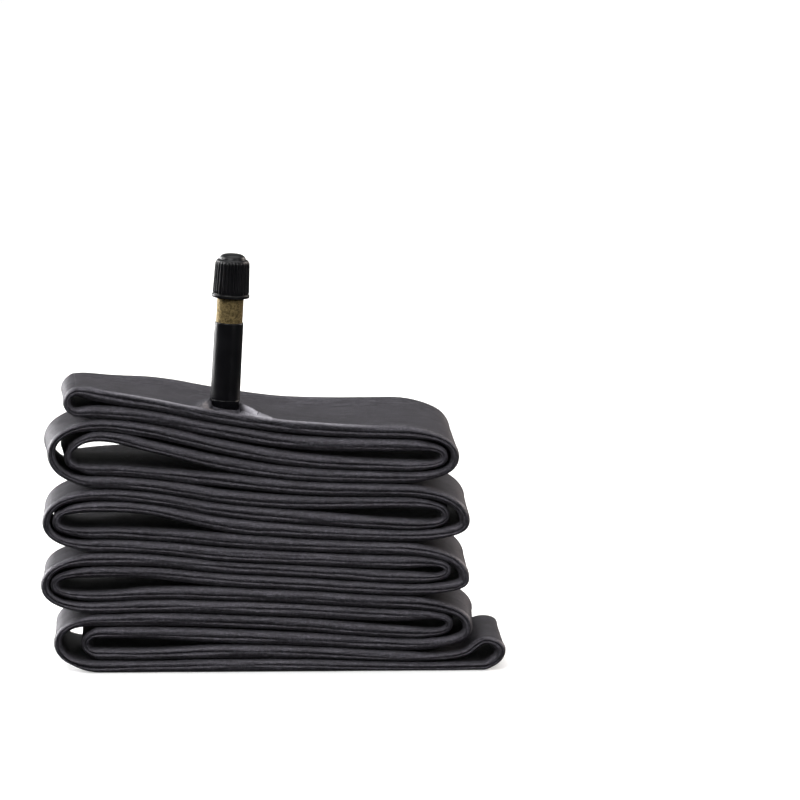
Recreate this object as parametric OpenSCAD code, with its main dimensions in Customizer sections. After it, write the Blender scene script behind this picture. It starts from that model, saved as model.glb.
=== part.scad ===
// Bicycle inner tube with a straight car-type valve, pressed flat and folded to and fro into a pack.
// The tube is one closed ring. Pressed flat it is a ribbon, and the ring is a doubled ribbon:
// nine runs of two layers, so eighteen layers lie on each other, joined by eighteen turns.
// Frame: X along the pack, Y across the flat tube, Z up, origin under the pack's middle.

/* [Tube] */
// Width of the tube when it is pressed flat
flat_w = 45; // [42:1:50]
// Most thickness of a flattened layer, at its folded edges
edge_t = 4.1; // [3.6:0.1:4.2]
// Thickness of a flattened layer where it turns back
turn_t = 2.3; // [2.1:0.1:2.4]
// Thickness of the rubber wall
wall = 0.8; // [0.7:0.05:0.95]

/* [Valve patch] */
// Length of the patch along the tube
patch_l = 24; // [20:1:28]
// Length of the patch across the tube
patch_w = 40; // [34:1:42]
// Height of the valve's seat above the tube
seat_h = 1; // [0.9:0.1:1.4]

/* [Valve stem] */
// Place of the valve along the pack
valve_x = -13.5; // [-16:0.5:-10]
// Lean of the valve towards +X, in degrees
valve_lean = 3.3; // [0:0.1:4]
// Diameter of the rubber-covered stem
sleeve_d = 8.3; // [8:0.1:8.4]
// Height of the top of the rubber above the tube
sleeve_top = 22; // [20:0.1:26]
// Height of the stem's mouth above the tube
mouth_h = 38.9; // [37:0.1:43]
// Crest diameter of the outer thread
thread_d = 7.7; // [7.6:0.1:7.8]

/* [Dust cap] */
// Overall height of the cap
cap_h = 13.1; // [12.5:0.1:14]
// Diameter of the cap's flange
cap_flange_d = 10.9; // [10.7:0.1:11.5]
// Length of stem inside the closed cap
cap_grip = 9.2; // [8.8:0.1:9.4]
// Number of grip ribs round the cap
cap_ribs = 30; // [24:1:36]

/* [Valve core] */
// How far the core's pin goes in
pin_travel = 1; // [0.6:0.1:1]
// Diameter of the core's thread
core_d = 5.1; // [5:0.05:5.15]

/* [Hidden] */
$fn = 64;

rubber = [0.2, 0.2, 0.21];
stem_rubber = [0.05, 0.05, 0.055];
brass = [0.72, 0.62, 0.36];
steel = [0.7, 0.7, 0.72];
plastic = [0.09, 0.09, 0.095];
seal_rubber = [0.45, 0.1, 0.08];

// ---- the folded ribbon -----------------------------------------------------------------------
// Places along X where each layer's height is stated, and the height of each layer's middle there,
// from the top layer down.
stations = [-50, -35, -14, 8, 36];
layer_z = [
    [80.9, 78.2, 74.1, 71.2, 69.6],
    [76.0, 74.5, 70.1, 66.7, 65.7],
    [72.2, 70.4, 65.5, 61.8, 59.9],
    [68.8, 65.6, 60.8, 57.6, 56.6],
    [59.4, 58.3, 55.9, 53.7, 52.8],
    [55.6, 54.5, 51.2, 49.4, 49.1],
    [52.0, 50.8, 47.2, 45.0, 43.0],
    [48.4, 47.4, 43.1, 41.0, 39.6],
    [41.2, 40.6, 38.6, 37.0, 35.8],
    [37.2, 36.4, 34.3, 33.1, 31.9],
    [33.3, 32.8, 30.6, 29.3, 27.4],
    [29.4, 29.1, 27.0, 25.8, 24.0],
    [22.6, 23.3, 22.9, 21.9, 20.2],
    [19.2, 19.5, 18.9, 17.9, 16.4],
    [15.5, 15.8, 15.0, 13.8, 11.4],
    [11.8, 11.5, 10.5, 9.4, 7.8],
    [5.7, 5.5, 6.0, 5.6, 4.2],
    [2.0, 2.0, 2.0, 2.0, 1.5],
];
layers = len(layer_z);
bottom = layers - 1;
// The two end loops stand wider than the layers that lead into them.
more_left = [[[-56, 82]], [[-56, 76]]];
more_right = [[[48, 4.2], [55, 5.3], [61, 8.8]], [[60, 1.5]]];
// The order in which the ring passes through the layers.
ring = [0, 3, 4, 7, 8, 11, 12, 15, 16, 17, 14, 13, 10, 9, 6, 5, 2, 1];
// The turn after each layer: X and Z of its tip, and how far its upper and lower legs bulge.
turns = [
    [52.2, 62.3, 0, 0], [-58.6, 62.8, 0, 0], [55.2, 43.8, 0, 0], [-62.2, 44.4, 0, 0],
    [55.1, 26.9, 0, 0], [-62.9, 26.0, 0, 0], [56.0, 12.7, 0, 0], [-54.2, 8.6, 0, 0],
    [65.6, 5.8, 0, 0], [-62.0, 9.0, 0, 0], [50.4, 13.7, 0.6, 0.4], [-65.6, 25.8, 0, 0],
    [49.9, 29.4, 0.5, 0.3], [-65.1, 44.2, 0, 0], [49.4, 45.2, 0, 0.4], [-63.5, 64.2, 0, 0],
    [49.0, 62.4, 0.2, 0], [-58.9, 79.0, 0, 0],
];
slit = 0.1;        // room between two layers that lie on each other
span_steps = 3;    // straight pieces between two stations
turn_steps = 6;    // straight pieces in each half of a turn
round_lead = 0.62; // how full a turn is at its tip
blunt_lead = 0.75; // how early a turn leaves its leg
thin_over = 10;    // a layer thins over this length beyond the last station

function ends(k) = k < 2 ? concat(more_left[k], [for (i = [0:4]) [stations[i], layer_z[k][i]]])
    : k > layers - 3 ? concat([for (i = [0:4]) [stations[i], layer_z[k][i]]], more_right[k - layers + 2])
    : [for (i = [0:4]) [stations[i], layer_z[k][i]]];
function slope(p, i) = let (last = len(p) - 1)
    i == 0 ? 0
    : i < last ? (p[i + 1].y - p[i - 1].y) / (p[i + 1].x - p[i - 1].x)
    : p[i].x > stations[4] ? 0
    : 0.6 * (p[i].y - p[i - 1].y) / (p[i].x - p[i - 1].x);
function span_of(p, x) = max([0, for (i = [0:len(p) - 2]) if (p[i].x <= x) i]);
function hermite(p, i, x) = let (h = p[i + 1].x - p[i].x, t = (x - p[i].x) / h)
    (2 * t^3 - 3 * t^2 + 1) * p[i].y + (t^3 - 2 * t^2 + t) * h * slope(p, i)
    + (3 * t^2 - 2 * t^3) * p[i + 1].y + (t^3 - t^2) * h * slope(p, i + 1);
// Height of layer k's middle at x.
function height(k, x) = let (p = ends(k)) hermite(p, span_of(p, x), x);
function ease(t) = let (u = min(1, max(0, t))) u * u * (3 - 2 * u);
function mix(a, b, w) = a + (b - a) * w;
// Half the thickness of layer k at x towards the layer k + side: it fills the room up to half of edge_t.
function half(k, side, x) =
    k == bottom && side == 1 ? min(height(k, x), edge_t / 2)
    : let (inner_x = min(max(x, stations[0]), stations[4]),
        room = k + side < 0 ? edge_t : abs(height(k + side, inner_x) - height(k, inner_x)) - slit)
        mix(min(edge_t, room) / 2, turn_t / 2, ease(abs(x - inner_x) / thin_over));
// One layer from left to right: [x, z, half above, half below].
function leg(k) = let (p = ends(k), last = len(p) - 1)
    [for (i = [0:last - 1], j = [0:span_steps - (i == last - 1 ? 0 : 1)])
        let (x = mix(p[i].x, p[i + 1].x, j / span_steps)) [x, height(k, x), half(k, -1, x), half(k, 1, x)]];
function reversed(list) = [for (i = [len(list) - 1:-1:0]) list[i]];
// A leg as the ring passes it: [x, z, half on the left hand, half on the right hand].
function passed(k, rightward) = rightward ? leg(k) : [for (p = reversed(leg(k))) [p[0], p[1], p[3], p[2]]];
// A quarter turn from a leg's end p, which has slope m, to the turn's tip.
function quarter(p, m, tip, bulge) =
    let (dx = tip.x - p.x, dz = p.y + bulge - tip.y, lead = dx * max(0.4, 1 - blunt_lead * abs(dz / dx)),
        a = [p.x + lead, p.y + lead * m + bulge], b = [tip.x, tip.y + round_lead * dz])
    [for (j = [0:turn_steps]) let (t = j / turn_steps)
        (1 - t)^3 * [p.x, p.y] + 3 * (1 - t)^2 * t * a + 3 * (1 - t) * t^2 * b + t^3 * [tip.x, tip.y]];
function turn(i) =
    let (rightward = i % 2 == 0, k = ring[i], next = ring[(i + 1) % layers], t = turns[i],
        leg_a = passed(k, rightward), leg_b = passed(next, !rightward),
        from = leg_a[len(leg_a) - 1], to = leg_b[0], downward = from[1] > to[1],
        ends_a = ends(k), ends_b = ends(next),
        slope_a = slope(ends_a, rightward ? len(ends_a) - 1 : 0),
        slope_b = slope(ends_b, rightward ? len(ends_b) - 1 : 0),
        qa = quarter(from, slope_a, t, downward ? t[2] : -t[3]),
        qb = quarter(to, slope_b, t, downward ? -t[3] : t[2]))
    concat(
        [for (j = [1:turn_steps]) let (w = ease(2 * j / turn_steps))
            [qa[j].x, qa[j].y, mix(from[2], turn_t / 2, w), mix(from[3], turn_t / 2, w)]],
        [for (j = [turn_steps - 1:-1:1]) let (w = ease(2 * j / turn_steps))
            [qb[j].x, qb[j].y, mix(to[2], turn_t / 2, w), mix(to[3], turn_t / 2, w)]]);
// The whole ring, as [x, z, half on the left hand, half on the right hand].
ribbon = [for (i = [0:layers - 1]) each concat(passed(ring[i], i % 2 == 0), turn(i))];
// The ring's outline on one hand, side 1 or -1, set in from its surface. It lies flat on the ground.
function outline(side, inset) = let (n = len(ribbon))
    [for (i = [0:n - 1])
        let (a = ribbon[(i + n - 1) % n], p = ribbon[i], b = ribbon[(i + 1) % n],
            d = [b.x - a.x, b.y - a.y] / norm([b.x - a.x, b.y - a.y]),
            out = side * ((side > 0 ? p[2] : p[3]) - inset),
            q = [p.x - d.y * out, p.y + d.x * out])
        [q.x, inset == 0 && q.y < 0.1 ? 0 : q.y]];
// Points that lie on a straight line between their neighbours aren't kept.
function bends(p) = let (n = len(p))
    [for (i = [0:n - 1]) let (u = p[i] - p[(i + n - 1) % n], v = p[(i + 1) % n] - p[i])
        if (abs(u.x * v.y - u.y * v.x) > 1e-6) p[i]];

// Extrudes a shape drawn in X and Z along Y, over width w about the middle.
module across(w) rotate([90, 0, 0]) translate([0, 0, -w / 2]) linear_extrude(w) children();
module ring_shape(inset) {
    difference() {
        polygon(bends(outline(1, inset)));
        polygon(bends(outline(-1, inset)));
    }
}

module tube_body() {
    color(rubber) difference() {
        across(flat_w) ring_shape(0);
        across(flat_w - 2 * wall) ring_shape(wall);
        on_valve() translate([0, 0, -2 * wall]) cylinder(h = 4 * wall, d = air_d);
    }
}

// ---- the valve -------------------------------------------------------------------------------
// Its own frame: Z along the stem, zero on the tube's top surface. Depths are counted down from
// the stem's mouth.
valve_z = height(0, valve_x) + edge_t / 2;
function down(depth) = mouth_h - depth;
module on_valve() translate([valve_x, 0, valve_z]) rotate([0, valve_lean, 0]) children();
module turned(profile) on_valve() rotate_extrude() polygon(profile);
air_d = 3.4;       // air way through the patch and the tube's wall
seat_d = 10.4;     // round seat under the stem's foot
collar_d = 9;      // foot of the rubber sleeve
collar_h = 0.3;
flare_h = 0.5;     // height of the flare between the foot and the sleeve
shank_d = 6.3;     // brass inside the rubber
foot_d = 7.6;      // brass flange moulded into the rubber's foot
foot_t = 0.6;
way_d = 3.8;       // bore below the threaded chamber
chamber_end = 7.2; // depth where the chamber's conical seat starts
cone_end = 9.2;    // depth where it ends
thread_pitch = 0.79375;
thread_depth = 0.42;
thread_turns = 10;
thread_end = 0.4;  // plain stem above the last thread
relief_under = 0.3; // the thread runs out into a groove this far under the closed cap
core_room = 0.05;  // radial room round the core's thread
cap_room = 0.08;   // radial room between the cap and the stem's thread

// A low tent of thick rubber on the top layer, with a round seat square to the stem.
patch_rim = 0.35;  // thickness at the patch's ends
patch_root = 3;    // the shapes below start this far under the tube's surface, which then cuts them
patch_sky = 20;    // and the cutting shapes reach this far over it
seat_clear = 3;    // nothing stands over the seat this far round it
top_line = [for (i = [0:len(leg(0)) - 1]) outline(1, 0)[i]];
function tent_top(x) = height(0, x) + edge_t / 2
    + max(patch_rim, seat_h * (1 - abs(x - valve_x) * 2 / patch_l));
module over_tube() {
    sky = valve_z + patch_sky;
    across(flat_w) polygon(concat(top_line, [[stations[4], sky], [stations[0], sky]]));
}
module patch_plan() {
    x = patch_l / 2;
    y = patch_w / 2;
    translate([valve_x, 0]) polygon([[-x, -y / 2], [-x / 2, -y], [x / 2, -y], [x, -y / 2],
        [x, y / 2], [x / 2, y], [-x / 2, y], [-x, y / 2]]);
}
module tent() {
    x = patch_l / 2;
    root = valve_z - patch_root;
    tops = [for (u = [-1:0.25:1]) [valve_x + u * x, tent_top(valve_x + u * x)]];
    across(flat_w) polygon(concat(tops, [[valve_x + x, root], [valve_x - x, root]]));
}
module valve_patch() {
    color(rubber) difference() {
        intersection() {
            over_tube();
            union() {
                intersection() {
                    tent();
                    linear_extrude(valve_z + patch_sky) patch_plan();
                }
                on_valve() translate([0, 0, -patch_root]) cylinder(h = seat_h + patch_root, d = seat_d);
            }
        }
        on_valve() translate([0, 0, seat_h]) cylinder(h = patch_sky, d = seat_d + 2 * seat_clear);
        on_valve() translate([0, 0, -patch_root]) cylinder(h = seat_h + 2 * patch_root, d = air_d);
    }
}

// Rubber moulded over the brass: a foot, a flare and a plain sleeve with a rounded top edge.
module stem_sleeve() {
    edge = 0.4;
    color(stem_rubber) turned([
        [foot_d / 2, seat_h], [collar_d / 2, seat_h], [collar_d / 2, seat_h + collar_h],
        [sleeve_d / 2, seat_h + collar_h + flare_h], [sleeve_d / 2, sleeve_top - edge],
        [sleeve_d / 2 - edge, sleeve_top], [shank_d / 2, sleeve_top],
        [shank_d / 2, seat_h + foot_t], [foot_d / 2, seat_h + foot_t]]);
}

// Rings of the outer thread, from height z up.
function thread_rings(z, r, depth, pitch, turns) = [for (i = [0:turns - 1]) each [
    [r, z + i * pitch], [r, z + (i + 0.3) * pitch],
    [r - depth, z + (i + 0.6) * pitch], [r - depth, z + (i + 0.7) * pitch]]];
module stem_body() {
    r = thread_d / 2;
    chamber = core_d / 2 + core_room;
    relief = mouth_h - cap_grip - relief_under;
    start = mouth_h - thread_end - thread_turns * thread_pitch;
    threads = thread_rings(start, r, thread_depth, thread_pitch, thread_turns);
    color(brass) turned(concat(
        [[air_d / 2, seat_h], [foot_d / 2, seat_h], [foot_d / 2, seat_h + foot_t],
        [shank_d / 2, seat_h + foot_t], [shank_d / 2, sleeve_top], [r - 0.25, sleeve_top],
        [r, sleeve_top + 0.25], [r, relief], [r - thread_depth, relief + 0.1],
        [r - thread_depth, start - 0.05]],
        threads,
        [[r - thread_depth, mouth_h], [chamber, mouth_h], [chamber, down(chamber_end)],
        [way_d / 2, down(cone_end)], [way_d / 2, seat_h + 6], [air_d / 2, seat_h + 5]]));
}

// ---- the valve core --------------------------------------------------------------------------
pin_r = 0.4;
pin_head_r = 0.75;
pin_top = 0.2;      // depth of the pin's head
pin_head_h = 0.5;
plug_top = pin_top + pin_head_h + pin_travel + 0.1; // the pin's head stays clear of the plug
plug_thread = 3;    // depth where its thread starts
plug_end = 6;
neck_top = 5.2;     // depth of the barrel's neck, which turns inside the plug
neck_r = 1.35;
barrel_r = 1.75;
barrel_end = 11.6;
barrel_bore_r = 1.05;
spring_floor = 10.4; // depth of the ledge that carries the spring
spring_top = 6.5;
spring_wire = 0.3;
spring_turns = 5;
gasket_top = 7.5;
gasket_end = 8.9;
gasket_gap = 0.03;
cup_top = 11.9;
cup_floor = 12.2;
cup_end = 12.8;
cup_r = 1.45;
cup_seal_r = 1.28;
rivet_end = 13.3;

// The threaded plug, with two flats for the core key. It turns on the barrel's neck.
module core_plug() {
    r = core_d / 2;
    flats = 3.3;       // width across the two flats
    cutter = core_d;   // any size that clears the plug
    color(brass) difference() {
        turned(concat(
            [[pin_r + 0.2, down(neck_top - 0.1)], [neck_r + 0.05, down(neck_top - 0.1)],
            [neck_r + 0.05, down(plug_end)], [r - 0.3, down(plug_end)]],
            thread_rings(down(plug_end) + 0.1, r, 0.3, 0.7056, 4),
            [[r - 0.3, down(plug_thread)], [r - 0.4, down(plug_thread) + 0.1],
            [r - 0.4, down(plug_top)], [pin_r + 0.2, down(plug_top)]]));
        for (side = [-1, 1])
            on_valve() translate([side * (flats + cutter) / 2, 0, down(plug_thread) + 0.1 + cutter / 2])
                cube(cutter, center = true);
    }
}

// The barrel hangs from the plug by its neck and seals in the stem's cone. It doesn't turn.
module core_barrel() {
    color(brass) turned([
        [barrel_bore_r, down(neck_top)], [neck_r, down(neck_top)], [neck_r, down(plug_end + 0.1)],
        [barrel_r, down(plug_end + 0.1)], [barrel_r, down(barrel_end - 0.4)],
        [barrel_r - 0.4, down(barrel_end)], [pin_r + 0.2, down(barrel_end)],
        [pin_r + 0.2, down(spring_floor)], [barrel_bore_r, down(spring_floor)]]);
}
function cone_r(depth) = let (top = core_d / 2 + core_room)
    top - (top - way_d / 2) * (depth - chamber_end) / (cone_end - chamber_end);
module core_gasket() {
    color(seal_rubber) turned([
        [barrel_r, down(gasket_top)], [cone_r(gasket_top) - gasket_gap, down(gasket_top)],
        [cone_r(gasket_end) - gasket_gap, down(gasket_end)], [barrel_r, down(gasket_end)]]);
}
module core_pin() {
    collar_r = 0.85;
    color(steel) turned([
        [0, down(pin_top)], [pin_head_r, down(pin_top)], [pin_head_r, down(pin_top + pin_head_h)],
        [pin_r, down(pin_top + pin_head_h)], [pin_r, down(spring_top - 0.3)],
        [collar_r, down(spring_top - 0.3)], [collar_r, down(spring_top)], [pin_r, down(spring_top)],
        [pin_r, down(cup_end)], [pin_head_r, down(cup_end)], [pin_head_r, down(rivet_end)],
        [0, down(rivet_end)]]);
}
module core_cup() {
    color(brass) turned([
        [pin_r, down(cup_floor)], [cup_seal_r, down(cup_floor)], [cup_seal_r, down(cup_top)],
        [cup_r, down(cup_top)], [cup_r, down(cup_end)], [pin_r, down(cup_end)]]);
}
module core_cup_seal() {
    color(seal_rubber) turned([
        [pin_r, down(barrel_end + 0.01)], [cup_seal_r, down(barrel_end + 0.01)],
        [cup_seal_r, down(cup_floor)], [pin_r, down(cup_floor)]]);
}

// A coil of round wire between the barrel's ledge and the pin's collar.
module core_spring() {
    sides = 6;
    per_turn = 12;
    mean_r = 0.73;
    w = spring_wire / 2;
    low = down(spring_floor) + w + 0.02;
    high = down(spring_top) - w - 0.02;
    rings = spring_turns * per_turn;
    points = [for (i = [0:rings], j = [0:sides - 1])
        let (a = 360 * i / per_turn, b = 360 * j / sides, r = mean_r + w * cos(b))
        [r * cos(a), r * sin(a), mix(low, high, i / rings) + w * sin(b)]];
    walls = [for (i = [0:rings - 1], j = [0:sides - 1]) let (k = (j + 1) % sides)
        [i * sides + j, (i + 1) * sides + j, (i + 1) * sides + k, i * sides + k]];
    start_cap = [for (j = [0:sides - 1]) j];
    end_cap = [for (j = [sides - 1:-1:0]) rings * sides + j];
    color(steel) on_valve() polyhedron(points, concat(walls, [start_cap, end_cap]));
}

// ---- the dust cap ----------------------------------------------------------------------------
cap_z = mouth_h - cap_grip;
cap_bore_r = thread_d / 2 + cap_room;
seal_t = 1;
seal_gap = 0.02;
headroom = 2.6;    // free height over the stem's mouth, for the core's pin
head_r = 2.7;
module dust_cap() {
    top = cap_z + cap_h;
    flange_h = 0.95;
    skirt_r = 5;                // of the ribbed part at its foot
    shoulder_r = 4.65;          // and at its top
    shoulder_z = top - 2.1;
    dome_r = 4;
    dome_z = top - 1.35;
    dome_mid = [3.5, top - 0.65];
    dome_flat_r = 1.6;
    rib_r = 0.3;
    rib_sunk = 0.08;            // the ribs' middles lie this far inside the wall
    rib_root = 0.2;             // and they start this far inside the flange
    rib_foot = cap_z + flange_h - rib_root;
    rib_lean = atan((skirt_r - shoulder_r) / (shoulder_z - cap_z - flange_h));
    seal_seat = mouth_h + seal_t + 2 * seal_gap;
    ceiling_z = mouth_h + headroom;
    ceiling_chamfer = 0.5;
    color(plastic) {
        difference() {
            union() {
                turned([
                    [0, cap_z], [cap_flange_d / 2, cap_z], [cap_flange_d / 2, cap_z + flange_h],
                    [skirt_r, cap_z + flange_h], [shoulder_r, shoulder_z], [dome_r, dome_z],
                    dome_mid, [dome_flat_r, top], [0, top]]);
                for (i = [0:cap_ribs - 1])
                    on_valve() rotate([0, 0, 360 * i / cap_ribs])
                        translate([skirt_r - rib_sunk, 0, rib_foot]) rotate([0, -rib_lean, 0])
                            cylinder(h = shoulder_z - rib_foot, r = rib_r, $fn = 16);
            }
            turned([
                [0, cap_z - 1], [cap_bore_r, cap_z - 1], [cap_bore_r, seal_seat], [head_r, seal_seat],
                [head_r, ceiling_z - ceiling_chamfer], [head_r - ceiling_chamfer, ceiling_z],
                [0, ceiling_z]]);
        }
    }
}
module cap_seal() {
    r = cap_bore_r - 0.03;
    color(seal_rubber) turned([
        [head_r, mouth_h + seal_gap], [r, mouth_h + seal_gap], [r, mouth_h + seal_gap + seal_t],
        [head_r, mouth_h + seal_gap + seal_t]]);
}

tube_body();
valve_patch();
stem_sleeve();
stem_body();
core_plug();
core_barrel();
core_gasket();
core_pin();
core_spring();
core_cup();
core_cup_seal();
dust_cap();
cap_seal();
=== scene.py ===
"""The looks of a folded bicycle inner tube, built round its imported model.

The tube is swept again along its folded path with rounded, creased edges. The patch, the rubber
sleeve, the dust cap and the core's spring are rebuilt in detail, and every piece gets its own material.
Lengths in the tables and functions are in millimetres. Meshes are made in metres.
"""
import math

import bpy
from mathutils import Matrix, Vector, noise


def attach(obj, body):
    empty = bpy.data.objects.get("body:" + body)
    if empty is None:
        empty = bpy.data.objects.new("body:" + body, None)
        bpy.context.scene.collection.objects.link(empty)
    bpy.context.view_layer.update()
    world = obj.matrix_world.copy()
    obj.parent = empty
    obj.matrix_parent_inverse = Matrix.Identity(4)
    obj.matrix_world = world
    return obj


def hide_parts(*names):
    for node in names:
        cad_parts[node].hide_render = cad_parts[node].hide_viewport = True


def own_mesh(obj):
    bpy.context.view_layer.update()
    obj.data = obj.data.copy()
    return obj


MM = 0.001
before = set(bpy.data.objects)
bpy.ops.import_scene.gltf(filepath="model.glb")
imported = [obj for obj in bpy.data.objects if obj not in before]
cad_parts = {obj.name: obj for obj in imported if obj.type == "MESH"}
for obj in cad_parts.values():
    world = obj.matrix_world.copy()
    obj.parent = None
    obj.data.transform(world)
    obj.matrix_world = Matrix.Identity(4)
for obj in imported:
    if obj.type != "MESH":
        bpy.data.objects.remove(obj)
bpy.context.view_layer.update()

# ---- the folded path, as the CAD model has it ------------------------------------------------
# x of five places along the pack, and there the heights of the eighteen layers' middles, top layer first
STATIONS = (-50, -35, -14, 8, 36)
LAYER_Z = (
    (80.9, 78.2, 74.1, 71.2, 69.6),
    (76.0, 74.5, 70.1, 66.7, 65.7),
    (72.2, 70.4, 65.5, 61.8, 59.9),
    (68.8, 65.6, 60.8, 57.6, 56.6),
    (59.4, 58.3, 55.9, 53.7, 52.8),
    (55.6, 54.5, 51.2, 49.4, 49.1),
    (52.0, 50.8, 47.2, 45.0, 43.0),
    (48.4, 47.4, 43.1, 41.0, 39.6),
    (41.2, 40.6, 38.6, 37.0, 35.8),
    (37.2, 36.4, 34.3, 33.1, 31.9),
    (33.3, 32.8, 30.6, 29.3, 27.4),
    (29.4, 29.1, 27.0, 25.8, 24.0),
    (22.6, 23.3, 22.9, 21.9, 20.2),
    (19.2, 19.5, 18.9, 17.9, 16.4),
    (15.5, 15.8, 15.0, 13.8, 11.4),
    (11.8, 11.5, 10.5, 9.4, 7.8),
    (5.7, 5.5, 6.0, 5.6, 4.2),
    (2.0, 2.0, 2.0, 2.0, 1.5),
)
LAYERS = len(LAYER_Z)
# more places (x, z) on layers that reach further
MORE_LEFT = {0: [(-56, 82)], 1: [(-56, 76)]}
MORE_RIGHT = {16: [(48, 4.2), (55, 5.3), (61, 8.8)], 17: [(60, 1.5)]}
# the order in which the ring passes the layers, and the turn after each one: its tip's x and z, and
# how far it bulges on its upper and its lower side
RING = (0, 3, 4, 7, 8, 11, 12, 15, 16, 17, 14, 13, 10, 9, 6, 5, 2, 1)
TURNS = (
    (52.2, 62.3, 0, 0), (-58.6, 62.8, 0, 0), (55.2, 43.8, 0, 0), (-62.2, 44.4, 0, 0),
    (55.1, 26.9, 0, 0), (-62.9, 26.0, 0, 0), (56.0, 12.7, 0, 0), (-54.2, 8.6, 0, 0),
    (65.6, 5.8, 0, 0), (-62.0, 9.0, 0, 0), (50.4, 13.7, 0.6, 0.4), (-65.6, 25.8, 0, 0),
    (49.9, 29.4, 0.5, 0.3), (-65.1, 44.2, 0, 0), (49.4, 45.2, 0, 0.4), (-63.5, 64.2, 0, 0),
    (49.0, 62.4, 0.2, 0), (-58.9, 79.0, 0, 0),
)
FLAT_W = 45           # width of the flat tube
EDGE_T = 4.1          # greatest thickness of its edges
TURN_T = 2.3          # and their thickness in the turns
SLIT = 0.1            # room between two layers that lie on each other
MORE_INSIDE = {2: 0.7, 4: 0.7, 6: 0.6, 8: 0.8}     # the wide right turns are thicker on their inside
FRONT_T = 2.7         # the front edge's thickness where the next layer is far, as in a fold's open end
BACK_T = 3.9          # and the back edge's
OPEN_ROOM = 3.5       # more room than EDGE_T that it takes for the edges to be that thick
ROUND_LEAD = 0.62     # how round a turn is at its tip
BLUNT_LEAD = 0.75     # how much blunter a high turn is
LEAST_LEAD = 0.4      # and the most that it may be blunted to
END_SLOPE = 0.6       # share of the last span's slope that a layer keeps at its end
THIN_OVER = 10        # over this length a layer thins beyond the outermost stations
SPAN_STEPS = 10       # rows in one span between two places
FINE_SPANS = STATIONS[1:3]     # the top layer's spans that start here have three times as many
TURN_STEPS = 14       # rows in half a turn


def ease(t):
    """0 up to t = 0, 1 from t = 1, and smooth between."""
    t = min(1.0, max(0.0, t))
    return t * t * (3 - 2 * t)


def mix(a, b, w):
    return a + (b - a) * w


def knots(k):
    """Layer k's known places (x, z), from left to right."""
    return MORE_LEFT.get(k, []) + list(zip(STATIONS, LAYER_Z[k])) + MORE_RIGHT.get(k, [])


def slope(p, i):
    """Slope of a layer with the places p at the place i."""
    if i == 0:
        return 0.0
    if i < len(p) - 1:
        return (p[i + 1][1] - p[i - 1][1]) / (p[i + 1][0] - p[i - 1][0])
    if p[i][0] > STATIONS[-1]:
        return 0.0
    return END_SLOPE * (p[i][1] - p[i - 1][1]) / (p[i][0] - p[i - 1][0])


def height(k, x):
    """Height of layer k's middle at x."""
    p = knots(k)
    i = max([0] + [j for j in range(len(p) - 1) if p[j][0] <= x])
    h = p[i + 1][0] - p[i][0]
    t = (x - p[i][0]) / h
    return ((2 * t**3 - 3 * t**2 + 1) * p[i][1] + (t**3 - 2 * t**2 + t) * h * slope(p, i)
            + (3 * t**2 - 2 * t**3) * p[i + 1][1] + (t**3 - t**2) * h * slope(p, i + 1))


def half(k, side, x, open_t):
    """Half the thickness of layer k at x, towards the layer k + side."""
    if k == LAYERS - 1 and side > 0:
        return min(height(k, x), EDGE_T / 2)
    inner = min(max(x, STATIONS[0]), STATIONS[-1])
    room = EDGE_T if k + side < 0 else abs(height(k + side, inner) - height(k, inner)) - SLIT
    pressed = mix(min(EDGE_T, room), open_t, ease((room - EDGE_T) / OPEN_ROOM))
    return mix(pressed / 2, TURN_T / 2, ease(abs(x - inner) / THIN_OVER))


def leg(k, open_t):
    """One layer from left to right: (x, z, half above, half below)."""
    p = knots(k)
    steps = [3 * SPAN_STEPS if k == 0 and a[0] in FINE_SPANS else SPAN_STEPS for a in p]
    xs = [mix(a[0], b[0], j / n) for a, b, n in zip(p, p[1:], steps) for j in range(n)]
    return [(x, height(k, x), half(k, -1, x, open_t), half(k, 1, x, open_t)) for x in xs + [p[-1][0]]]


def passed(k, rightward, open_t):
    """A layer as the ring passes it: (x, z, half on the left hand, half on the right hand)."""
    rows = leg(k, open_t)
    return rows if rightward else [(x, z, down, up) for x, z, up, down in reversed(rows)]


def quarter(p, m, tip, bulge):
    """Points from a leg's end p, which has slope m, to a turn's tip."""
    dx = tip[0] - p[0]
    dz = p[1] + bulge - tip[1]
    lead = dx * max(LEAST_LEAD, 1 - BLUNT_LEAD * abs(dz / dx))
    ctrl = (p[:2], (p[0] + lead, p[1] + lead * m + bulge), (tip[0], tip[1] + ROUND_LEAD * dz), tip[:2])
    out = []
    for j in range(TURN_STEPS + 1):
        t = j / TURN_STEPS
        w = ((1 - t)**3, 3 * (1 - t)**2 * t, 3 * (1 - t) * t**2, t**3)
        out.append(tuple(sum(wi * c[axis] for wi, c in zip(w, ctrl)) for axis in (0, 1)))
    return out


def turn(i, open_t):
    """The turn after the ring's leg i, without its ends."""
    rightward = i % 2 == 0
    k, after = RING[i], RING[(i + 1) % LAYERS]
    start, end = passed(k, rightward, open_t)[-1], passed(after, not rightward, open_t)[0]
    at_end = -1 if rightward else 0
    downward = start[1] > end[1]
    tip = TURNS[i]

    def leg_slope(n):
        p = knots(n)
        return slope(p, len(p) - 1 if at_end else 0)

    qa = quarter(start, leg_slope(k), tip, tip[2] if downward else -tip[3])
    qb = quarter(end, leg_slope(after), tip, -tip[3] if downward else tip[2])
    turn_half = [TURN_T / 2, TURN_T / 2]
    turn_half[1 if downward == rightward else 0] += MORE_INSIDE.get(i, 0)
    rows = []
    to_tip, from_tip = range(1, TURN_STEPS + 1), range(TURN_STEPS - 1, 0, -1)
    for q, source, steps in ((qa, start, to_tip), (qb, end, from_tip)):
        for j in steps:
            w = ease(2 * j / TURN_STEPS)
            rows.append((*q[j], mix(source[2], turn_half[0], w), mix(source[3], turn_half[1], w)))
    return rows


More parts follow.
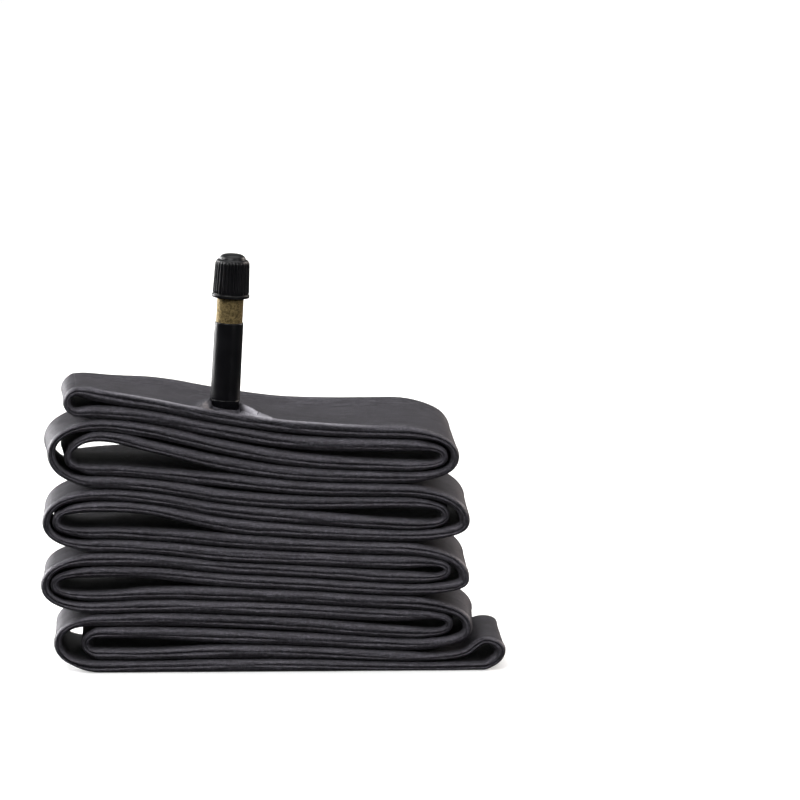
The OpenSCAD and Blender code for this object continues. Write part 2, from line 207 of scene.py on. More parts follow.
def ribbon(open_t):
    """The whole ring as rows (x, z, left half, right half, leg number), leg number None in a turn."""
    rows = []
    for i, k in enumerate(RING):
        rows += [(*p, i) for p in passed(k, i % 2 == 0, open_t)]
        rows += [(*p, None) for p in turn(i, open_t)]
    return rows


# ---- the valve's own frame -------------------------------------------------------------------
# its heights count along the valve's axis, from the level of the top layer's edges
VALVE_X = -13.5
SLEEVE_R = 4.15       # outer radius of the rubber sleeve
LEAN = math.radians(3.3)     # the valve leans to the right
VALVE_Z = height(0, VALVE_X) + EDGE_T / 2
TO_VALVE = Matrix.Translation((VALVE_X * MM, 0, VALVE_Z * MM)) @ Matrix.Rotation(LEAN, 4, "Y")

# ---- helpers for meshes ----------------------------------------------------------------------


def new_mesh(name, verts, faces, smooth=True):
    """A mesh object in the scene, from points in metres."""
    mesh = bpy.data.meshes.new(name)
    mesh.from_pydata([tuple(v) for v in verts], [], faces)
    mesh.validate()
    mesh.polygons.foreach_set("use_smooth", [smooth] * len(mesh.polygons))
    obj = bpy.data.objects.new(name, mesh)
    bpy.context.scene.collection.objects.link(obj)
    return obj


def set_lay(obj, values):
    """Distance along the tube, distance round it and how pale it is, worn at the edges' corners and painted
    with highlight on the top layer, for the rubber's material.
    """
    layer = obj.data.attributes.new("lay", "FLOAT_VECTOR", "POINT")
    layer.data.foreach_set("vector", values)


def grid_faces(rows, cols, close_rows, close_cols):
    """Four-sided faces between neighbouring points of a grid, which may close on itself."""
    faces = []
    for i in range(rows if close_rows else rows - 1):
        for j in range(cols if close_cols else cols - 1):
            i2, j2 = (i + 1) % rows, (j + 1) % cols
            faces.append((i * cols + j, i * cols + j2, i2 * cols + j2, i2 * cols + j))
    return faces


# ---- the tube --------------------------------------------------------------------------------
EDGE_ROUND = 2.2      # how far in from the edge the rounding reaches
EDGE_STEPS = 18       # steps round one edge, an even number, so that a point lies in the groove
TOP_STEPS = 18        # points across one flat side
EDGE_SPREAD = 1.25    # over 1 the points crowd round the edge's middle
TOP_SPREAD = 0.6      # under 1 they crowd towards the edges
SQUARENESS = 2.15     # 2 is a round edge, more is squarer
MID_HALF = 1.0        # half thickness of the tube away from its edges
FLAT_FROM = 2.0       # the flat side starts to sink this far in from the edge
FLAT_AT = 8.0         # and has sunk in full this far in
CORNER_PALE = 0.06    # how pale the edges' corners are, worn by rubbing
CORNER_AT = 0.8       # where they lie and how wide they are, in half thicknesses
CORNER_W = 0.15
CREASE = 0.75         # depth of the groove along the edge, between its two walls
CREASE_W = 0.16       # its width, in half thicknesses
SAG = 1.9             # how far the top layer's upper wall hangs between its two edges
SAG_FROM = 0.5        # it starts to hang this far in from the edge
SAG_AT = 9.5          # and hangs in full this far in
SAG_POWER = 2.2       # 1 is an even slope, more is steeper behind the edge
LIP_SQUARENESS = 4.0  # of the top layer's upper edges
SAG_LEFT = -54        # it hangs between these two ends
SAG_RIGHT = 34
SAG_OVER = 18         # and in full this far from them
NECK_W = 1.6          # the rubber rises to the valve over this width
NECK_RISE = 0.2       # by this share of the sag
TAUT_LEFT = (-4.2, -7.6)     # where its taut ridges start and end, to the left and right of the valve
TAUT_RIGHT = (4.2, 12.4)
TAUT_END = 21                # how far in front of the valve they end
RIDGE_FROM = 2               # they begin this far behind the valve's axis
RIDGE_OVER = 3               # and are in full this much further forward
TAUT_IN = 0.6                # the steep side of a ridge, towards the valve
TAUT_OUT = 2.2               # and its gentle side
TAUT_RISE = (0.75, 1.0)      # how high it stands at its two ends, out of the whole sag
TAUT_HIGHLIGHT = (0.35, 1.0)      # painted highlight: how pale the left and the right ridge are painted, where light catches them
TAUT_BAND = (0.25, 0.75)     # width of the painted highlight band at a ridge's two ends
BAND_IN = 0.6                # the band's middle lies inwards of the ridge by this share of its width
BAND_FROM = -1               # it begins in front of the valve's axis
BAND_OVER = 4                # and is in full this much further forward
LIP_HIGHLIGHT = 0.5               # painted highlight: how pale the rim of the top layer's edges is painted, where light catches it
LIP_IN = 0.35                # this far in from the edge
LIP_W = 0.5                  # over this width
SHADE = 0.6                  # painted shade: the edge's painted highlight is dimmer by this share in front of the valve, in the shadow of the valve and its ridges
SHADE_IN = 3                 # in full this far inwards of a ridge
SHADE_FROM = 10              # and not at all this far from the valve
SHADE_OVER = 4
PIT = 1.4                    # the rubber sinks this much more in front of the valve, between the ridges
PIT_IN = 1.5                 # in full this far inwards of a ridge
FAN = (-21.5, 21.5)          # the mesh's rows lean with the ridges between these places beside the valve


def lean_of(dx, u):
    """How far a row of the top layer's mesh leans sideways at u, so that it runs along a taut ridge."""
    reach = min(max(-u / TAUT_END, 0.0), 1.0)
    left, right = TAUT_LEFT[1] - TAUT_LEFT[0], TAUT_RIGHT[1] - TAUT_RIGHT[0]
    marks = ((FAN[0], 0), (TAUT_LEFT[0], left), (TAUT_RIGHT[0], right), (FAN[1], 0))
    for a, b in zip(marks, marks[1:]):
        if a[0] <= dx < b[0]:
            return reach * mix(a[1], b[1], (dx - a[0]) / (b[0] - a[0]))
    return 0.0


def ridge_offsets(dx, reach):
    """How far a place lies from each taut ridge, positive on the side away from the valve."""
    return (mix(*TAUT_LEFT, reach) - dx, dx - mix(*TAUT_RIGHT, reach))


def sunk(x, u):
    """How far the top layer's upper wall lies below its edges: it hangs between them and rises to the
    valve's foot and to the taut ridges that run from the foot to the front edge."""
    inward, reach, dx = FLAT_W / 2 - abs(u), abs(u) / TAUT_END, x - VALVE_X
    raised = NECK_RISE * (1 - ease((math.hypot(dx, u) - SLEEVE_R) / NECK_W))
    in_front = ease((RIDGE_FROM - u) / RIDGE_OVER)
    inside = in_front
    for out in ridge_offsets(dx, reach):
        width = TAUT_IN if out < 0 else TAUT_OUT
        raised = max(raised, mix(*TAUT_RISE, reach) * math.exp(-(out / width) ** 2) * in_front)
        inside *= ease(-out / PIT_IN)
    down = min(max((inward - SAG_FROM) / (SAG_AT - SAG_FROM), 0.0), 1.0)
    return (SAG + PIT * inside * (1 - raised)) * (1 - (1 - down) ** SAG_POWER) * (1 - raised)


def painted_highlight(x, u):
    """Painted highlight on the top layer's upper wall, from 0 to 1: pale along its edges' rims and on the
    taut ridges, where light catches them, and dimmed by painted shade in front of the valve.
    """
    inward, reach, dx = FLAT_W / 2 - abs(u), abs(u) / TAUT_END, x - VALVE_X
    # painted highlight along the rims of the top layer's edges
    pale = LIP_HIGHLIGHT * math.exp(-((inward - LIP_IN) / LIP_W) ** 2)
    for out in ridge_offsets(dx, reach):
        # painted shade in front of the valve, between the ridges
        pale *= 1 - SHADE * ease(-out / SHADE_IN) * ease((SHADE_FROM - abs(dx)) / SHADE_OVER)
    wide = mix(*TAUT_BAND, reach)
    in_front = ease((BAND_FROM - u) / BAND_OVER)
    # painted highlight on the taut ridges beside the valve
    for out, most in zip(ridge_offsets(dx, reach), TAUT_HIGHLIGHT):
        pale = max(pale, most * math.exp(-((out + BAND_IN * wide) / wide) ** 2) * in_front)
    return pale


def section(x, front, back, top_leg, creases):
    """The closed cross-section of the tube: (across, out to the left hand, how pale it is: worn at the
    edges' corners, and on the top layer a painted highlight). front and back are the two edges' half
    thicknesses to the left and to the right hand."""
    w = FLAT_W / 2
    points = []
    hang = ease((x - SAG_LEFT) / SAG_OVER) * ease((SAG_RIGHT - x) / SAG_OVER) if top_leg else 0.0

    def flat(sign, hand):
        for j in range(TOP_STEPS):
            t = 1 - 2 * (j + 0.5) / TOP_STEPS
            u = sign * math.copysign(abs(t) ** TOP_SPREAD, t) * (w - EDGE_ROUND)
            half_t = mix(front[hand], back[hand], 0.5 + u / FLAT_W)
            sink = max(0.0, half_t - MID_HALF) * ease((w - abs(u) - FLAT_FROM) / (FLAT_AT - FLAT_FROM))
            pale = 0.0
            if sign < 0 and hang:
                leaning = x + lean_of(x - VALVE_X, u)
                sink = mix(sink, sunk(leaning, u), hang)
                # painted highlight on the top layer's upper wall
                pale = hang * painted_highlight(leaning, u)
            points.append((u, -sign * (half_t - sink), pale))

    def edge(sign):
        for j in range(EDGE_STEPS + 1):
            t = 2 * j / EDGE_STEPS - 1
            a = math.copysign(abs(t) ** EDGE_SPREAD, t) * math.pi / 2
            v = math.sin(a) - sign * creases[0][0] * math.cos(a) ** 2
            upper = sign * v < 0
            power = mix(SQUARENESS, LIP_SQUARENESS, hang) if upper else SQUARENESS
            out = (1 - abs(v) ** power) ** (1 / power)
            groove = sum(depth * math.exp(-abs(v + sign * at) / CREASE_W) for at, depth in creases)
            across = w - EDGE_ROUND * (1 - out) - groove * out
            halves = back if sign > 0 else front
            sink, pale = 0.0, CORNER_PALE * math.exp(-((abs(v) - CORNER_AT) / CORNER_W) ** 2)
            if upper and hang:
                leaning = x + lean_of(x - VALVE_X, sign * across)
                sink = hang * v * v * sunk(leaning, sign * across)
                # on the top layer the corner's wear gives way to a painted highlight along the rim
                pale = mix(pale, painted_highlight(leaning, sign * across) * ease((abs(v) - 0.5) / 0.3), hang)
            points.append((sign * across, -sign * v * (halves[0] if upper else halves[1]) - sink, pale))

    flat(-1, 0)
    edge(1)
    flat(1, 1)
    edge(-1)
    return points


# how far the pack's back edge hangs lower, and lies further right, than its front edge, at some
# heights: (height, lower, right), for the left folds and for the right folds
BACK_LEFT = ((0, 0, 0), (10, 2.2, 0.2), (26, 3.4, 0.5), (44, 3.8, 0.1), (60, 2.6, -1.6), (80, 2.7, -1.0))
BACK_RIGHT = ((0, 0, 0), (6, 1.0, -0.3), (13, 2.4, 2.0), (27, 1.0, 0.3), (44, 0.5, 0.4), (60, -0.2, -0.8),
              (70, -1.9, -0.8))
TWIST_LEFT = (-25, 33)       # where this starts, towards the left, and over what length it grows
TWIST_RIGHT = (-5, 50)       # and towards the right


def from_table(table, z):
    """Smoothly between the table's rows, and level beyond its last one."""
    for a, b in zip(table, table[1:]):
        if z < b[0]:
            w = ease((z - a[0]) / (b[0] - a[0]))
            return mix(a[1], b[1], w), mix(a[2], b[2], w)
    return table[-1][1:]


def settle(x, y, z):
    """The pack's slight twist: a smooth shift in space, so layers that lie on each other stay so."""
    back = (y + FLAT_W / 2) / FLAT_W
    at_left = ease((TWIST_LEFT[0] - x) / TWIST_LEFT[1]) * back
    at_right = ease((x - TWIST_RIGHT[0]) / TWIST_RIGHT[1]) * back
    lower_l, right_l = from_table(BACK_LEFT, z)
    lower_r, right_r = from_table(BACK_RIGHT, z)
    return (x + right_l * at_left + right_r * at_right, y, z - lower_l * at_left - lower_r * at_right)


# small dents in the inner folds' front edges: where, and how deep as a share of the thickness
KINKS = (((-58.0, 64.5), 0.35), ((-56.0, 60.4), 0.2), ((-60.2, 47.0), 0.3), ((-61.5, 23.6), 0.25))
KINK_W = 0.7
KINK_FROM = -8        # they begin this far in front of the middle
KINK_OVER = 10        # and are in full this much further forward
RIPPLE = 0.12         # height of the ripples in the walls
FLOOR_CLEAR = 4       # the lowest layer, below this height, has none
CALM_TO = 14          # up to this far from the valve the top layer has no ripples and no sideways shift
CALM_OVER = 10        # and this much further on it has them in full


def wander(s, length, row):
    """Smooth noise along the tube that changes over about this length. row picks one of many."""
    return noise.noise(Vector((s / length, row, 0)))


def make_tube():
    """The folded ring, with creases, ripples, dents and sideways shifts that change along its length s."""
    rows, back_rows = ribbon(FRONT_T), ribbon(BACK_T)
    n = len(rows)
    verts, along, pales = [], [], []
    s = 0.0
    for i, (x, z, *front, leg_no) in enumerate(rows):
        before, after = rows[i - 1], rows[(i + 1) % n]
        d = Vector((after[0] - before[0], after[1] - before[1])).normalized()
        s += math.dist(before[:2], (x, z)) if i else 0
        main_at = -0.12 * d.x + 0.35 * wander(s, 60, 5.3) + 0.12 * wander(s, 11, 2.9)
        side_at = main_at + (0.5 if wander(s, 400, 9.1) > 0 else -0.5)
        creases = ((main_at, CREASE * max(0.12, 0.65 + 1.3 * wander(s, 22, 3.1))),
                   (side_at, 0.6 * CREASE * max(0.0, 2 * wander(s, 30, 6.4))))
        calm = ease((abs(x - VALVE_X) - CALM_TO) / CALM_OVER) if leg_no == 0 else 1.0
        shift = 0.7 * wander(s, 60, 7.7) + 0.25 * wander(s, 14, 1.7)
        ring = section(x, front, back_rows[i][2:4], leg_no == 0, creases)
        kink = sum(depth * math.exp(-(math.dist((x, z), at) / KINK_W) ** 2) for at, depth in KINKS)
        for u, v, pale in ring:
            ripple = RIPPLE * calm * noise.noise(Vector((s / 9, u / 7, v / 3)))
            v2 = v + math.copysign(ripple, v) if z > FLOOR_CLEAR else v
            v2 *= 1 - kink * ease((KINK_FROM - u) / KINK_OVER)
            lean = lean_of(x - VALVE_X, u) if leg_no == 0 else 0.0
            rise = height(0, x + lean) - height(0, x) if lean else 0.0
            q = settle(x + lean - d.y * v2, u + shift * calm, z + rise + d.x * v2)
            verts.append((q[0] * MM, q[1] * MM, max(q[2], 0.0) * MM))
            pales.append(pale)
        along.append(s)
    cols = len(ring)
    obj = new_mesh("folded_tube", verts, grid_faces(n, cols, True, True))
    values = []
    for i in range(n):
        ring = verts[i * cols:(i + 1) * cols]
        r = 0.0
        for j in range(cols):
            r += math.dist(ring[j - 1], ring[j]) if j else 0
            values += [along[i] * MM, r, pales[i * cols + j]]
    set_lay(obj, values)
    return obj


tube = make_tube()

# ---- pieces turned about the valve's axis ----------------------------------------------------


def turned(name, profile, segments, bulge=None):
    """Revolves a closed profile of (radius, height) about the valve's axis. bulge(r, h, a) adds to r."""
    verts = []
    for r, h in profile:
        for j in range(segments):
            a = 2 * math.pi * j / segments
            q = r + (bulge(r, h, a) if bulge else 0)
            verts.append(TO_VALVE @ Vector((q * math.cos(a) * MM, q * math.sin(a) * MM, h * MM)))
    return new_mesh(name, verts, grid_faces(len(profile), segments, True, True))


def arc(cx, cz, r, a0, a1, steps):
    """Points of an arc, angles in degrees."""
    return [(cx + r * math.cos(math.radians(mix(a0, a1, j / steps))),
             cz + r * math.sin(math.radians(mix(a0, a1, j / steps)))) for j in range(steps + 1)]


SHANK_R = 3.15        # the sleeve's own bore
SLEEVE_TOP = 22.7     # its upper end
SLEEVE_FLARE = 0.14   # how much wider it is at its foot
FOOT_Z = -3.6         # its lower end, inside the tube


def make_sleeve():
    """The rubber over the stem, with a small bead where it meets the patch."""
    edge, bead = 0.4, 0.1
    profile = [(SHANK_R, FOOT_Z), (SLEEVE_R, FOOT_Z), (SLEEVE_R, -0.3)]
    profile += arc(SLEEVE_R + 0.08, 0, bead, -90, 90, 6)
    profile += [(SLEEVE_R + mix(SLEEVE_FLARE, 0.0, h / 20), h) for h in (0.3, 2, 4, 8, 12, 16, 20)]
    profile += arc(SLEEVE_R - edge, SLEEVE_TOP - edge, edge, 0, 90, 6)
    profile += [(SHANK_R + 0.02, SLEEVE_TOP), (SHANK_R, SLEEVE_TOP - 0.05)]
    return turned("rubber_sleeve", profile, 72)


sleeve = make_sleeve()

CAP_Z = 29.95         # the cap's lower edge
CAP_H = 12.65         # and its height
CAP_BORE_R = 3.93
CAP_RIBS = 30
RIB_STEPS = 8         # points round each rib
CAP_STEPS = 26        # points up the ribbed side
CAP_SEAT = 39.94      # where the bore ends, above the seal
CAP_HEADROOM = 41.5   # top of the hollow above the core
HEAD_R = 2.7          # and that hollow's radius
# the dome, from the groove round it to its top: (radius, depth below the top)
CAP_DOME = ((4.3, 1.74), (4.05, 1.64), (3.88, 1.62), (3.82, 1.56), (3.8, 1.4), (3.74, 1.18), (3.6, 0.92),
            (3.36, 0.66), (3.0, 0.42), (2.55, 0.24), (2.05, 0.12), (1.5, 0.05), (0.8, 0.02))
AXIS_R = 0.0004       # a hole too small to see, which keeps the turned mesh free of a pole


def make_cap():
    """The dust cap: a flange, a tapered ribbed side, and a low dome in a groove."""
    top = CAP_Z + CAP_H
    flange_r, flange_h = 5.45, 0.95
    skirt_r, shoulder_r = 4.95, 4.62
    shoulder_z = top - 2.1
    rib_from, rib_to = CAP_Z + flange_h + 0.12, shoulder_z - 0.05
    rib_r, groove = 0.42, 0.06

    def rib(r, h, a):
        if r < shoulder_r - 0.3 or h < rib_from - 0.2 or h > rib_to + 0.5:
            return 0.0
        ends = ease((h - rib_from) / 0.25) * ease((rib_to - h) / 0.5)
        wave = 0.5 + 0.5 * math.cos(a * CAP_RIBS)
        return rib_r * ends * wave ** 0.7 - groove * ends

    profile = arc(flange_r - 0.15, CAP_Z + 0.15, 0.15, -90, 0, 3)
    profile += arc(flange_r - 0.22, CAP_Z + flange_h - 0.22, 0.22, 0, 90, 4)
    profile += [(skirt_r + 0.05, CAP_Z + flange_h), (skirt_r, CAP_Z + flange_h + 0.05)]
    for j in range(CAP_STEPS + 1):
        t = j / CAP_STEPS
        profile.append((mix(skirt_r, shoulder_r, t), mix(rib_from, shoulder_z, t)))
    profile += [(shoulder_r - 0.1, shoulder_z + 0.16)]
    profile += [(r, top - depth) for r, depth in CAP_DOME]
    profile += [(AXIS_R, top - 0.02), (AXIS_R, CAP_HEADROOM), (1.5, CAP_HEADROOM)]
    profile += [(HEAD_R - 0.5, CAP_HEADROOM), (HEAD_R, CAP_HEADROOM - 0.5), (HEAD_R, CAP_SEAT)]
    profile += [(CAP_BORE_R, h) for h in (CAP_SEAT, 36, 33, CAP_Z + 0.3)]
    profile += [(CAP_BORE_R + 0.3, CAP_Z)]
    return turned("ribbed_cap", profile, CAP_RIBS * RIB_STEPS, rib)


cap = make_cap()

# ---- the core's spring -----------------------------------------------------------------------
SPRING_FLOOR, SPRING_TOP = 28.5, 32.4      # heights of the faces that hold it


def make_spring():
    """The coil that closes the core."""
    wire_r, coil_r, turns, per_turn, sides = 0.15, 0.73, 5, 36, 10
    inset = wire_r + 0.02
    rings = turns * per_turn
    verts = []
    for i in range(rings + 1):
        a, h = 2 * math.pi * i / per_turn, mix(SPRING_FLOOR + inset, SPRING_TOP - inset, i / rings)
        for j in range(sides):
            b = -2 * math.pi * j / sides
            r = coil_r + wire_r * math.cos(b)
            verts.append(TO_VALVE @ Vector((r * math.cos(a) * MM, r * math.sin(a) * MM,
                                            (h + wire_r * math.sin(b)) * MM)))
    ends = [tuple(range(sides - 1, -1, -1)), tuple(rings * sides + j for j in range(sides))]
    return new_mesh("coil_spring", verts, grid_faces(rings + 1, sides, False, True) + ends)


spring = make_spring()

# ---- the patch -------------------------------------------------------------------------------
LAY_FROM = -50        # about where the tube's own distance along it starts


def make_patch():
    """A thin oval pad round the foot, which follows the tube's top and rises to the foot."""
    rings, segments = 36, 240
    half_x, half_y, thick, under = 12, 20, 0.25, -0.6

    def surface(x, y):
        s = (height(0, x + 0.1) - height(0, x - 0.1)) / 0.2
        return height(0, x) + (EDGE_T / 2 - sunk(x, y)) * math.sqrt(1 + s * s)

    def ring_at(t, lift):
        out = []
        for j in range(segments):
            a = 2 * math.pi * j / segments
            rx, ry = mix(SLEEVE_R, half_x, t), mix(SLEEVE_R, half_y, t)
            x, y = VALVE_X + rx * math.cos(a), ry * math.sin(a)
            out.append(Vector(settle(x, y, surface(x, y) + lift)) * MM)
            # the patch carries the same painted highlight on its ridges
            values.extend(((x - LAY_FROM) * MM, (FLAT_W / 2 - y) * MM, painted_highlight(x, y)))
        return out

    verts, values = [], []
    for i in range(rings + 1):
        t = (i / rings) ** 1.3
        verts += ring_at(t, thick - (thick + 0.1) * ease((t - 0.7) / 0.3))
    verts += ring_at(1.0, under)
    verts += ring_at(0.0, under)
    obj = new_mesh("patch", verts, grid_faces(rings + 3, segments, True, True))
    set_lay(obj, values)
    return obj


patch = make_patch()

# ---- materials -------------------------------------------------------------------------------


def material(name):
    """A new material, its node tree and its main shader."""
    mat = bpy.data.materials.new(name)
    mat.use_nodes = True
    tree = mat.node_tree
    return mat, tree, tree.nodes["Principled BSDF"]


def node(tree, kind, **inputs):
    """A new node with the given inputs, named with _ for each space."""
    made = tree.nodes.new(kind)
    for key, value in inputs.items():
        made.inputs[key.replace("_", " ")].default_value = value
    return made


def ramp(tree, source, stops):
    """A colour ramp on source, stops as (place, grey or colour)."""
    made = tree.nodes.new("ShaderNodeValToRGB")
    tree.links.new(source, made.inputs["Fac"])
    while len(made.color_ramp.elements) < len(stops):
        made.color_ramp.elements.new(0.5)
    for e, (place, value) in zip(made.color_ramp.elements, stops):
        e.position = place
        e.color = (*value, 1) if isinstance(value, tuple) else (value, value, value, 1)
    return made


def stretched(tree, source, scale):
    """The vector source, scaled by its own amount along each axis."""
    made = tree.nodes.new("ShaderNodeMapping")
    made.inputs["Scale"].default_value = scale
    tree.links.new(source, made.inputs["Vector"])
    return made.outputs["Vector"]


def colour_mix(tree, blend="MIX"):
    """A node that blends colour B into colour A."""
    made = tree.nodes.new("ShaderNodeMix")
    made.data_type = "RGBA"
    made.blend_type = blend
    made.inputs["Factor"].default_value = 1.0
    return made


def noise_of(tree, vector, scale, detail=3.0, rough=0.5):
    made = node(tree, "ShaderNodeTexNoise", Scale=scale, Detail=detail, Roughness=rough)
    tree.links.new(vector, made.inputs["Vector"])
    return made.outputs["Fac"]


def bump(tree, shader, layers):
    """layers: (height output, distance in metres, strength), each over the one before."""
    normal = None
    for out, distance, strength in layers:
        made = node(tree, "ShaderNodeBump", Strength=strength, Distance=distance)
        tree.links.new(out, made.inputs["Height"])
        if normal:
            tree.links.new(normal, made.inputs["Normal"])
        normal = made.outputs["Normal"]
    tree.links.new(normal, shader.inputs["Normal"])


def tube_rubber():
    """Dull black rubber with streaks and dust along the tube, read from the mesh's lay attribute, which
    also carries pale worn corners and painted highlights on the top layer's rim and ridges.
    """
    mat, tree, shader = material("tube_rubber")
    coord = tree.nodes.new("ShaderNodeTexCoord").outputs["Object"]
    lay = tree.nodes.new("ShaderNodeAttribute")
    lay.attribute_name = "lay"
    streaks = noise_of(tree, stretched(tree, lay.outputs["Vector"], (110, 1500, 0)), 1.0, 5.0, 0.65)
    scuffs = noise_of(tree, stretched(tree, lay.outputs["Vector"], (420, 2600, 0)), 1.0, 4.0, 0.7)
    cloud = noise_of(tree, coord, 60, 4.0, 0.6)
    grain = noise_of(tree, coord, 1300, 4.0, 0.75)
    tone = colour_mix(tree, "ADD")
    streak_tones = ((0.38, (0.008, 0.0078, 0.009)), (0.62, (0.038, 0.0365, 0.043)))
    scuff_tones = ((0.52, (0, 0, 0)), (0.7, (0.050, 0.048, 0.056)))
    # painted highlight: the lay attribute's third value paints the top layer's rim and ridges pale grey
    # where light catches them; on the edges' corners it is wear
    highlight_and_wear_tones = ((0.3, (0.26, 0.25, 0.28)), (0.7, (0.46, 0.45, 0.48)))
    tree.links.new(ramp(tree, streaks, streak_tones).outputs[0], tone.inputs["A"])
    tree.links.new(ramp(tree, scuffs, scuff_tones).outputs[0], tone.inputs["B"])
    speckled = colour_mix(tree, "MULTIPLY")
    tree.links.new(tone.outputs["Result"], speckled.inputs["A"])
    tree.links.new(ramp(tree, grain, ((0.35, 0.3), (0.65, 1.7))).outputs[0], speckled.inputs["B"])
    apart = tree.nodes.new("ShaderNodeSeparateXYZ")
    tree.links.new(lay.outputs["Vector"], apart.inputs[0])
    paler = colour_mix(tree)
    tree.links.new(apart.outputs["Z"], paler.inputs["Factor"])
    tree.links.new(speckled.outputs["Result"], paler.inputs["A"])
    tree.links.new(ramp(tree, grain, highlight_and_wear_tones).outputs[0], paler.inputs["B"])
    tree.links.new(paler.outputs["Result"], shader.inputs["Base Color"])
    shader.inputs["Specular Tint"].default_value = (1.0, 0.94, 1.07, 1)
    tree.links.new(ramp(tree, cloud, ((0.3, 0.36), (0.7, 0.50))).outputs[0], shader.inputs["Roughness"])
    shader.inputs["Specular IOR Level"].default_value = 0.5
    bump(tree, shader, ((streaks, 0.00025, 0.8), (scuffs, 0.00012, 0.8), (grain, 0.00014, 0.8)))
    return mat


def plain_rubber(name, colour, rough, gloss):
    """Smooth rubber or plastic, a little cloudy."""
    mat, tree, shader = material(name)
    coord = tree.nodes.new("ShaderNodeTexCoord").outputs["Object"]
    cloud = noise_of(tree, coord, 160, 3.0)
    grain = noise_of(tree, coord, 3000, 3.0, 0.7)
    dark = tuple(c * 0.7 for c in colour)
    tree.links.new(ramp(tree, cloud, ((0.3, dark), (0.7, colour))).outputs[0], shader.inputs["Base Color"])
    tree.links.new(ramp(tree, cloud, ((0.3, rough - 0.06), (0.7, rough + 0.06))).outputs[0],
                   shader.inputs["Roughness"])
    shader.inputs["Specular IOR Level"].default_value = gloss
    bump(tree, shader, ((grain, 0.00002, 0.4),))
    return mat


def metal(name, colour, rough, streak_scale):
    """Metal with tarnish and fine streaks."""
    mat, tree, shader = material(name)
    coord = tree.nodes.new("ShaderNodeTexCoord").outputs["Object"]
    streaks = noise_of(tree, stretched(tree, coord, (1, 1, streak_scale)), 300, 3.0)
    cloud = noise_of(tree, coord, 1700, 3.0, 0.7)
    dark = tuple(c * 0.35 for c in colour)
    tree.links.new(ramp(tree, cloud, ((0.38, dark), (0.6, colour))).outputs[0], shader.inputs["Base Color"])
    tree.links.new(ramp(tree, streaks, ((0.3, rough - 0.08), (0.7, rough + 0.08))).outputs[0],
                   shader.inputs["Roughness"])
    shader.inputs["Metallic"].default_value = 1.0
    bump(tree, shader, ((streaks, 0.00002, 0.4),))
    return mat


RUBBER = tube_rubber()
STEM_RUBBER = plain_rubber("stem_rubber", (0.0025, 0.0025, 0.0035), 0.34, 0.2)
SEAL = plain_rubber("seal_rubber", (0.16, 0.02, 0.015), 0.6, 0.4)
PLASTIC = plain_rubber("cap_plastic", (0.003, 0.003, 0.004), 0.34, 0.28)
BRASS = metal("brass", (0.31, 0.235, 0.11), 0.62, 1)
STEEL = metal("steel", (0.6, 0.6, 0.62), 0.3, 4)

for piece, mat, slot in ((tube, RUBBER, "tube_rubber"), (patch, RUBBER, "tube_rubber"),
                         (sleeve, STEM_RUBBER, "stem_rubber"), (cap, PLASTIC, "cap_plastic"),
                         (spring, STEEL, "steel")):
    piece.data.materials.append(mat)

for name, mat in (("stem_body", BRASS), ("core_plug", BRASS), ("core_barrel", BRASS), ("core_cup", BRASS),
                  ("core_pin", STEEL), ("core_spring", STEEL), ("core_gasket", SEAL),
                  ("core_cup_seal", SEAL), ("cap_seal", SEAL)):
    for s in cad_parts[name].material_slots:
        s.material = mat

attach(tube, "tube")
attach(patch, "tube")
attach(sleeve, "tube")
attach(cap, "cap")
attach(spring, "core")
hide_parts("tube_body")
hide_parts("valve_patch")
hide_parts("stem_sleeve")
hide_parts("dust_cap")
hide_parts("core_spring")
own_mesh(spring)

# ---- floor, light and camera -----------------------------------------------------------------


def stage_mesh(name, verts, faces):
    """A piece of the studio. The part is lit by the lights and the world alone, not by the studio."""
    obj = new_mesh(name, verts, faces, smooth=False)
    obj.visible_diffuse = obj.visible_glossy = obj.visible_shadow = False
    return obj


def make_floor():
    size = 12.0
    floor = stage_mesh("floor", [(-size, -size, 0), (size, -size, 0), (size, size, 0), (-size, size, 0)],
                       [(0, 1, 2, 3)])
    mat, tree, shader = material("floor")
    coord = tree.nodes.new("ShaderNodeTexCoord").outputs["Object"]
    cloud = noise_of(tree, coord, 3, 2.0)
    tree.links.new(ramp(tree, cloud, ((0.3, 0.80), (0.7, 0.82))).outputs[0], shader.inputs["Base Color"])
    shader.inputs["Roughness"].default_value = 0.9
    shader.inputs["Emission Color"].default_value = (1, 1, 1, 1)
    shader.inputs["Emission Strength"].default_value = 0.3
    floor.data.materials.append(mat)


def make_backdrop():
    """A pale wall all round, far behind the part."""
    radius, top, sides = 11.0, 12.0, 48
    verts = [(radius * math.cos(2 * math.pi * j / sides), radius * math.sin(2 * math.pi * j / sides), z)
             for z in (-0.01, top) for j in range(sides)]
    wall = stage_mesh("backdrop", verts, grid_faces(2, sides, False, True))
    mat, tree, shader = material("backdrop")
    shader.inputs["Base Color"].default_value = (0.9, 0.9, 0.9, 1)
    shader.inputs["Emission Color"].default_value = (1, 1, 1, 1)
    shader.inputs["Emission Strength"].default_value = 0.9
    wall.data.materials.append(mat)


def area_light(name, place, target, size, power, colour=(1, 1, 1)):
    data = bpy.data.lights.new(name, "AREA")
    data.shape = "RECTANGLE"
    data.size, data.size_y = size
    data.energy = power
    data.color = colour
    obj = bpy.data.objects.new(name, data)
    obj.location = place
    obj.rotation_euler = (Vector(target) - Vector(place)).to_track_quat("-Z", "Y").to_euler()
    bpy.context.scene.collection.objects.link(obj)


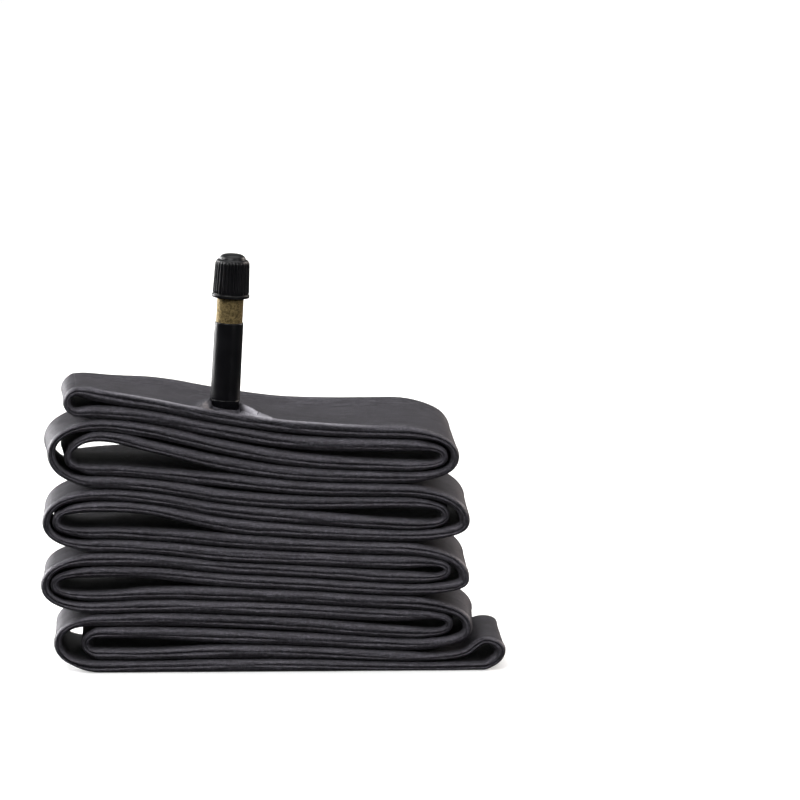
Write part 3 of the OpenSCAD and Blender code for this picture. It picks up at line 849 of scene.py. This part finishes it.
def make_world():
    """Light that fades from overhead down to the floor."""
    world = bpy.data.worlds.new("studio")
    world.use_nodes = True
    tree = world.node_tree
    split = tree.nodes.new("ShaderNodeSeparateXYZ")
    tree.links.new(tree.nodes.new("ShaderNodeTexCoord").outputs["Generated"], split.inputs[0])
    fade = ramp(tree, split.outputs["Z"], ((0.0, 0.06), (0.3, 0.2), (1.0, 0.3)))
    tree.links.new(fade.outputs[0], tree.nodes["Background"].inputs["Color"])
    bpy.context.scene.world = world


def make_lights():
    sun = bpy.data.lights.new("top_light", "SUN")
    sun.energy = 1.5
    sun.angle = math.radians(60)
    obj = bpy.data.objects.new("top_light", sun)
    obj.rotation_euler = Vector((0.1, 0.05, 1)).to_track_quat("Z", "Y").to_euler()
    bpy.context.scene.collection.objects.link(obj)
    middle = (0, 0, 0.06)
    area_light("front_light", (-0.6, -1.5, 1.4), middle, (1.0, 0.8), 26)
    area_light("top_left_light", (-1.3, 0.2, 0.9), middle, (0.5, 0.5), 16)
    area_light("left_light", (-1.0, 0.9, 0.3), middle, (0.7, 0.7), 21)
    area_light("right_light", (1.15, 0.7, 0.6), middle, (0.5, 0.5), 11, (1, 0.9, 0.82))
    area_light("right_strip", (1.1, -1.3, 0.7), middle, (0.15, 1.2), 7)


def make_camera():
    azimuth, elevation = math.radians(-2.2), math.radians(9.0)
    distance = 2.0
    aim = Vector((0.0371, 0, 0.0756))
    back = Vector((math.sin(azimuth) * math.cos(elevation), -math.cos(azimuth) * math.cos(elevation),
                   math.sin(elevation)))
    data = bpy.data.cameras.new("camera")
    data.sensor_width = 36
    data.lens = 311.2
    data.clip_start, data.clip_end = 0.01, 50
    obj = bpy.data.objects.new("camera", data)
    obj.location = aim + back * distance
    obj.rotation_euler = (-back).to_track_quat("-Z", "Y").to_euler()
    bpy.context.scene.collection.objects.link(obj)
    bpy.context.scene.camera = obj


make_floor()
make_backdrop()
make_world()
make_lights()
make_camera()
bpy.context.scene.view_settings.view_transform = "Standard"
